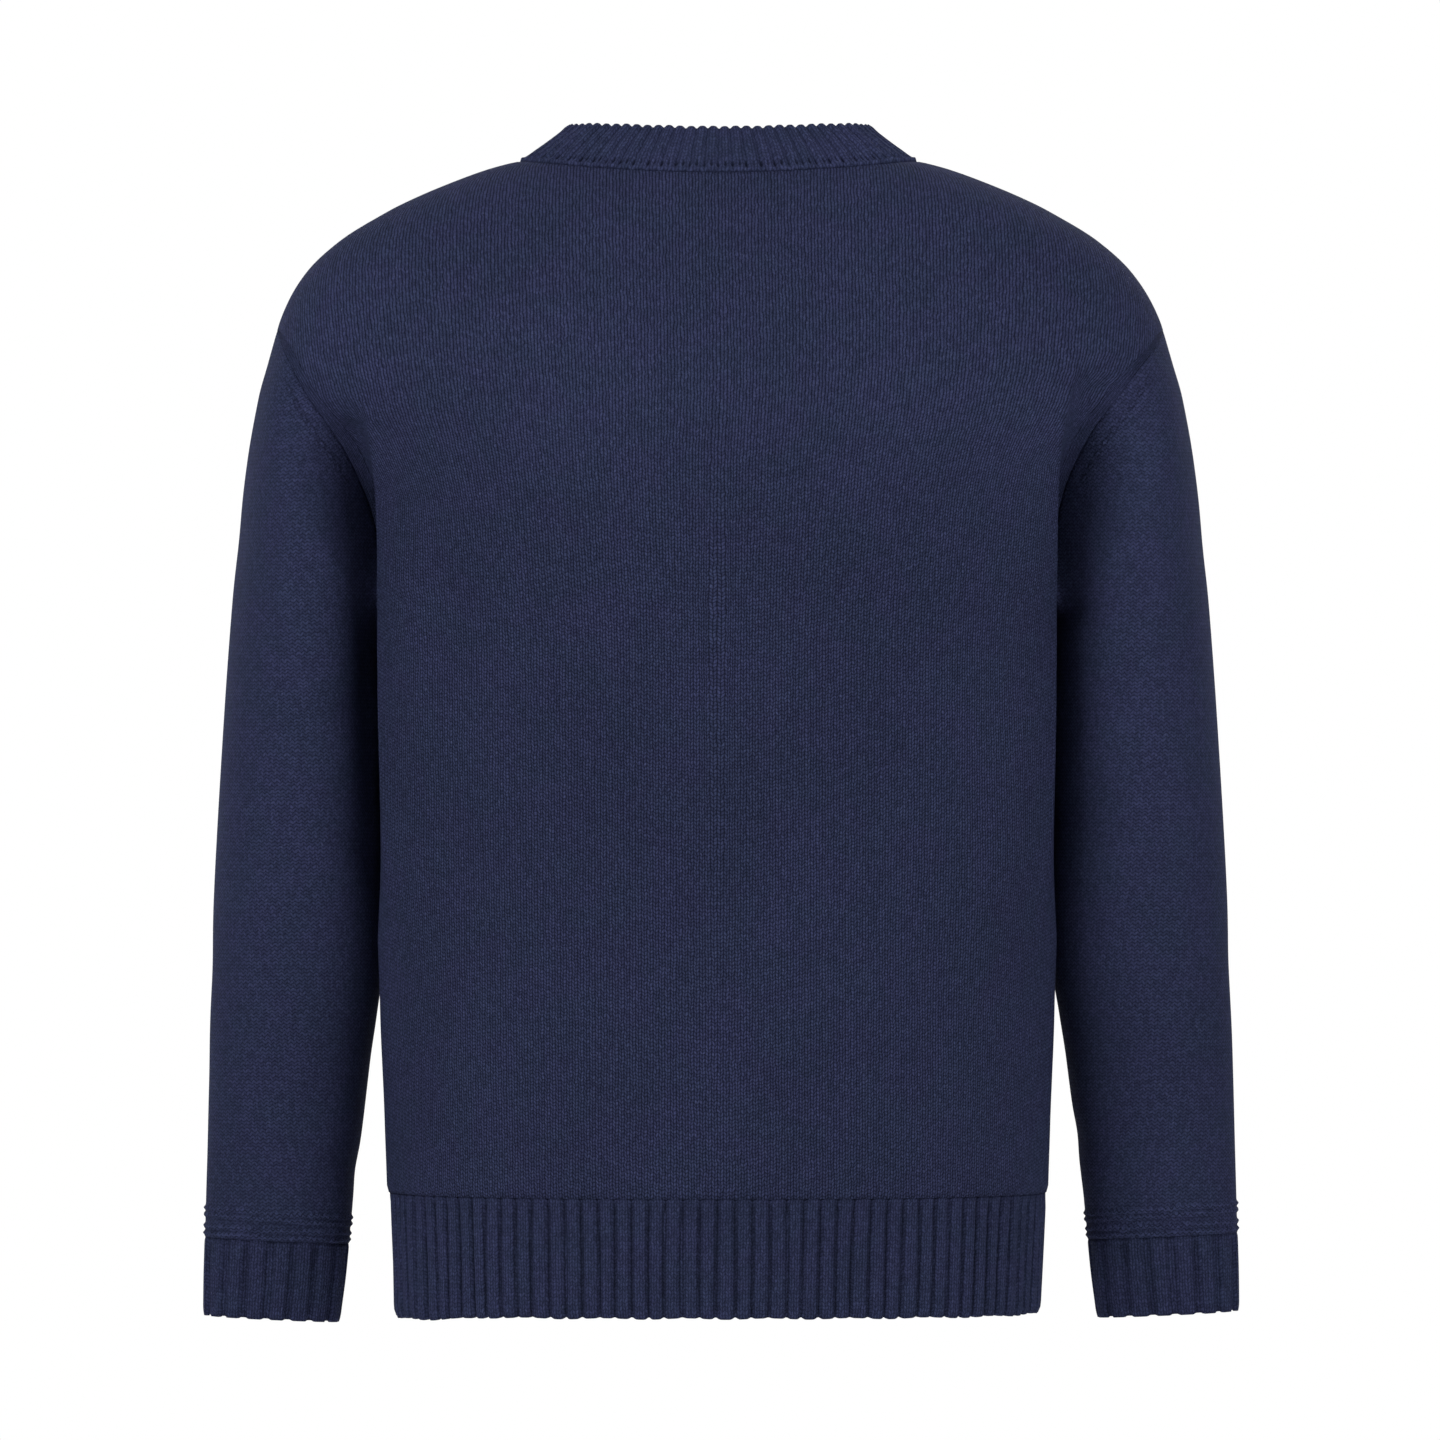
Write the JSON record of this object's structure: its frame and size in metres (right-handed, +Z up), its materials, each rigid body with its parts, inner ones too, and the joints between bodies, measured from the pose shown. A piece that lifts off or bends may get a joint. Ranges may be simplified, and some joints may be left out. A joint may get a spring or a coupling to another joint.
{
  "type": "crewneck sweater",
  "caption": "Fine-knit long-sleeved crewneck sweater, filled out as worn with nobody in it, with ribbed neck, cuffs and hem.",
  "frame": {"origin": "midway between the two points where the shoulder seams meet the neck rib, level with them, where a wearer's shoulders carry the garment", "axes": "+Z up along the body length, +X to the wearer's left, and the chest faces -Y"},
  "size_m": [0.609, 0.264, 0.7046],
  "materials": {
    "back_panel_knit": "matte navy wool in plain knit",
    "front_panel_knit": "matte navy wool in plain knit",
    "back_hem_rib_knit": "matte navy wool in narrow rib",
    "front_hem_rib_knit": "matte navy wool in narrow rib",
    "sleeve_left_knit": "matte navy wool in plain knit",
    "sleeve_right_knit": "matte navy wool in plain knit",
    "cuff_left_knit": "matte navy wool in narrow rib",
    "cuff_right_knit": "matte navy wool in narrow rib",
    "neck_rib_knit": "matte navy wool in narrow rib"
  },
  "bodies": {
    "root": {"back_panel": "back_panel_knit", "front_panel": "front_panel_knit", "back_hem_rib": "back_hem_rib_knit", "front_hem_rib": "front_hem_rib_knit", "sleeve_left": "sleeve_left_knit", "sleeve_right": "sleeve_right_knit", "cuff_left": "cuff_left_knit", "cuff_right": "cuff_right_knit", "neck_rib": "neck_rib_knit"}
  },
  "joints": []
}
